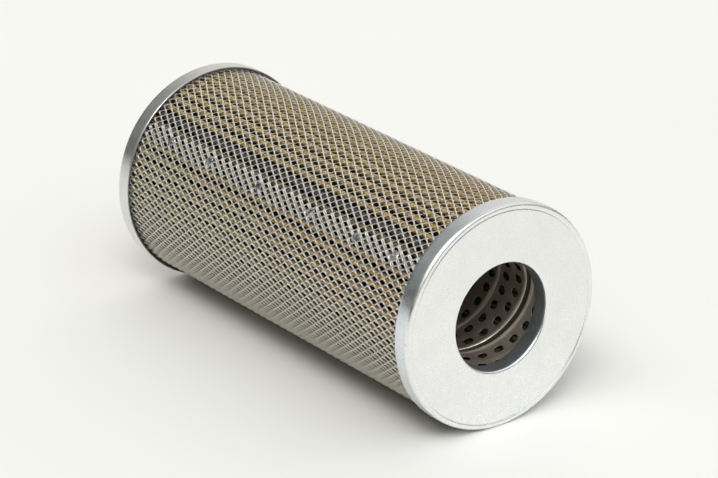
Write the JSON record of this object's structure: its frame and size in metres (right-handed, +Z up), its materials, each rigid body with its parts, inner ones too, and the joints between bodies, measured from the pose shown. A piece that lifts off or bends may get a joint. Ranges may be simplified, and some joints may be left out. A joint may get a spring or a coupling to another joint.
{
  "type": "oil filter element",
  "caption": "Cylindrical oil filter element with two open end caps, an expanded-metal outer screen, pleated media and a perforated spiral core.",
  "frame": {"origin": "centre of the element, on its axis, half way between the outer faces of the two end caps", "axes": "+X along the axis towards the front cap, +Z up, as the element lies on its side with its lap seam up and towards -Y"},
  "size_m": [0.18, 0.084, 0.084],
  "materials": {
    "zinc_cap": "bright zinc plate, satin, with light scuffs",
    "potting": "cured adhesive, matt",
    "core_steel": "plain strip steel, dull with a film of oil",
    "filter_paper": "resin-treated filter paper, matt",
    "support_mesh": "fine woven wire, dull",
    "clip_steel": "plain steel strip",
    "screen_steel": "zinc plated expanded steel, satin",
    "weld": "flattened spot weld, slightly scorched"
  },
  "bodies": {
    "root": {"front_end_cap": "zinc_cap", "rear_end_cap": "zinc_cap", "front_potting": "potting", "rear_potting": "potting", "core_tube": "core_steel", "core_lock_seam": "core_steel", "core_ribs": "core_steel", "filter_media": "filter_paper", "support_mesh": "support_mesh", "media_seam_clip": "clip_steel", "outer_screen": "screen_steel", "screen_welds": "weld"}
  },
  "joints": []
}
